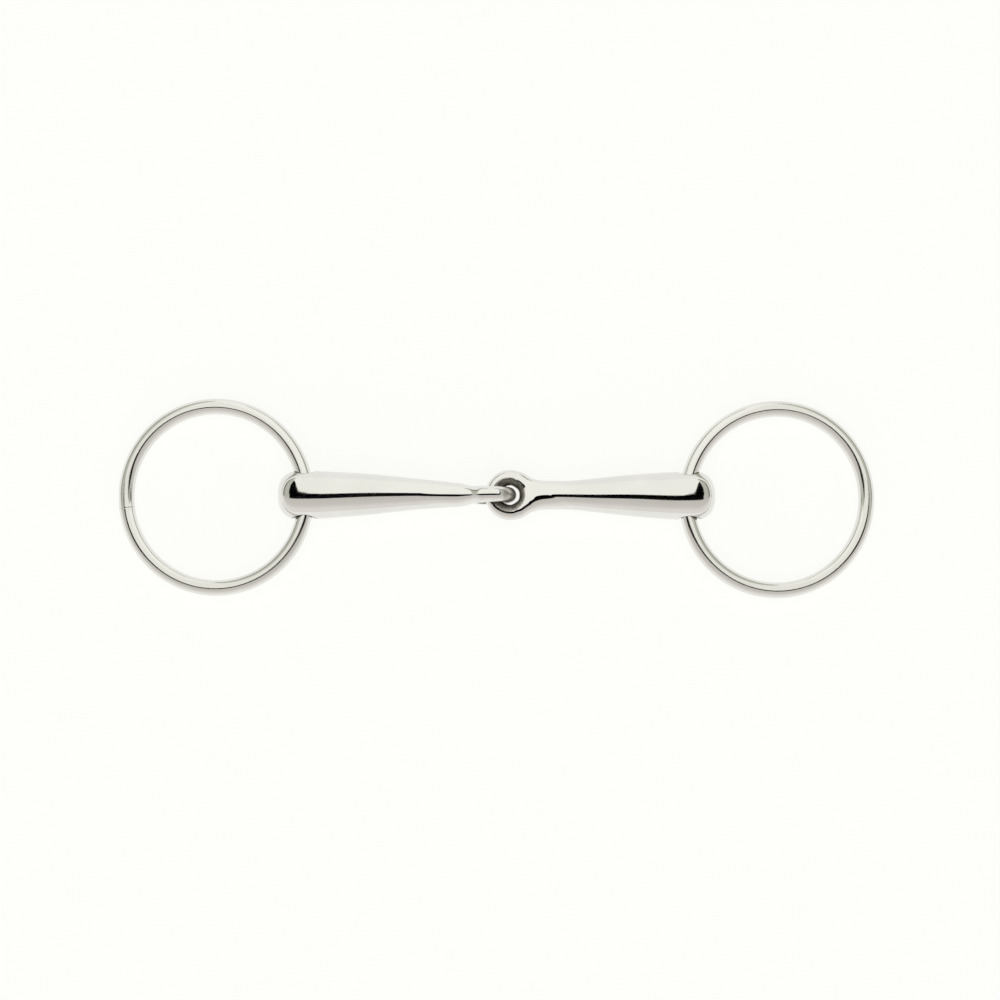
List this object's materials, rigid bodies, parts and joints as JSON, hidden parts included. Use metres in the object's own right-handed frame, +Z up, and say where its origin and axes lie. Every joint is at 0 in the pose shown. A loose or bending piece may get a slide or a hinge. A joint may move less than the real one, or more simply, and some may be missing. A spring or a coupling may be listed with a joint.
{
  "type": "snaffle bit",
  "caption": "Loose-ring jointed horse bit: tapered steel cannons hooked together by eyes in the middle, with a loose ring through each outer end for rein and cheekpiece.",
  "frame": {"origin": "on the surface the bit lies on, under the middle of its bounding box", "axes": "+X along the mouthpiece, from the ring of the upright-eyed cannon to the other ring; +Y along the ring holes, the side that is uppermost in use; +Z up from the surface"},
  "size_m": [0.2879, 0.0759, 0.0192],
  "materials": {
    "cannon_steel": "polished stainless steel with fine polishing marks",
    "ring_steel": "polished stainless steel wire"
  },
  "bodies": {
    "left_cannon": {"left_cannon": "cannon_steel"},
    "right_cannon": {"right_cannon": "cannon_steel"},
    "left_ring": {"left_ring": "ring_steel"},
    "right_ring": {"right_ring": "ring_steel"}
  },
  "joints": [
    {"name": "centre_fold", "type": "hinge", "parent": "left_cannon", "child": "right_cannon", "pos_m": [-0.00147, 0.00125, 0.0096], "axis": [0, -0.9976, 0.0698], "range_deg": [-80, 80]},
    {"name": "left_ring_swing", "type": "hinge", "parent": "left_cannon", "child": "left_ring", "pos_m": [-0.073, 0.00125, 0.0096], "axis": [0, 0.9976, -0.0698], "range_deg": [-94, 105]},
    {"name": "right_ring_swing", "type": "hinge", "parent": "right_cannon", "child": "right_ring", "pos_m": [0.073, 0.00125, 0.0096], "axis": [0, -0.9976, 0.0698], "range_deg": [-94, 105]}
  ]
}
